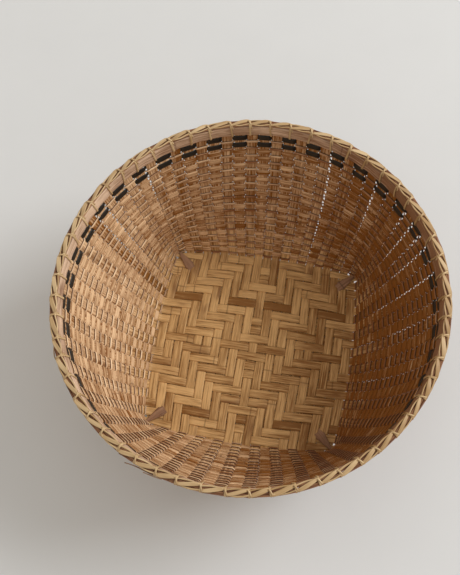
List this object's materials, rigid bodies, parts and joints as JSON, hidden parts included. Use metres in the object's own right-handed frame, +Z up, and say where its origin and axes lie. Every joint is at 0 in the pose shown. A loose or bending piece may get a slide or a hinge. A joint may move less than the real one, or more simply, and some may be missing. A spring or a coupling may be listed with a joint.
{
  "type": "woven basket",
  "caption": "Round open basket woven from flat bamboo splints, with a square twill floor and a lashed hoop rim.",
  "frame": {"origin": "centre of the footprint, on the surface the basket stands on", "axes": "+Z up, +X and +Y square to the sides of the floor"},
  "size_m": [0.318, 0.318, 0.1411],
  "materials": {
    "bamboo_splint": "satin",
    "bamboo_weaver": "satin",
    "bamboo_black": "satin",
    "bamboo_hoop": "satin",
    "bamboo_lashing": "satin"
  },
  "bodies": {
    "root": {"splint_x_01": "bamboo_splint", "splint_x_02": "bamboo_splint", "splint_x_03": "bamboo_splint", "splint_x_04": "bamboo_splint", "splint_x_05": "bamboo_splint", "splint_x_06": "bamboo_splint", "splint_x_07": "bamboo_splint", "splint_x_08": "bamboo_splint", "splint_x_09": "bamboo_splint", "splint_x_10": "bamboo_splint", "splint_x_11": "bamboo_splint", "splint_x_12": "bamboo_splint", "splint_x_13": "bamboo_splint", "splint_x_14": "bamboo_splint", "splint_x_15": "bamboo_splint", "splint_x_16": "bamboo_splint", "splint_x_17": "bamboo_splint", "splint_x_18": "bamboo_splint", "splint_x_19": "bamboo_splint", "splint_x_20": "bamboo_splint", "splint_x_21": "bamboo_splint", "splint_y_01": "bamboo_splint", "splint_y_02": "bamboo_splint", "splint_y_03": "bamboo_splint", "splint_y_04": "bamboo_splint", "splint_y_05": "bamboo_splint", "splint_y_06": "bamboo_splint", "splint_y_07": "bamboo_splint", "splint_y_08": "bamboo_splint", "splint_y_09": "bamboo_splint", "splint_y_10": "bamboo_splint", "splint_y_11": "bamboo_splint", "splint_y_12": "bamboo_splint", "splint_y_13": "bamboo_splint", "splint_y_14": "bamboo_splint", "splint_y_15": "bamboo_splint", "splint_y_16": "bamboo_splint", "splint_y_17": "bamboo_splint", "splint_y_18": "bamboo_splint", "splint_y_19": "bamboo_splint", "splint_y_20": "bamboo_splint", "splint_y_21": "bamboo_splint", "weavers_wide": "bamboo_weaver", "weavers_narrow": "bamboo_weaver", "weavers_black": "bamboo_black", "rim_inner_hoop": "bamboo_hoop", "rim_outer_hoop": "bamboo_hoop", "rim_fillers": "bamboo_hoop", "rim_lashing": "bamboo_lashing", "base_brace_a": "bamboo_hoop", "base_brace_b": "bamboo_hoop"}
  },
  "joints": []
}
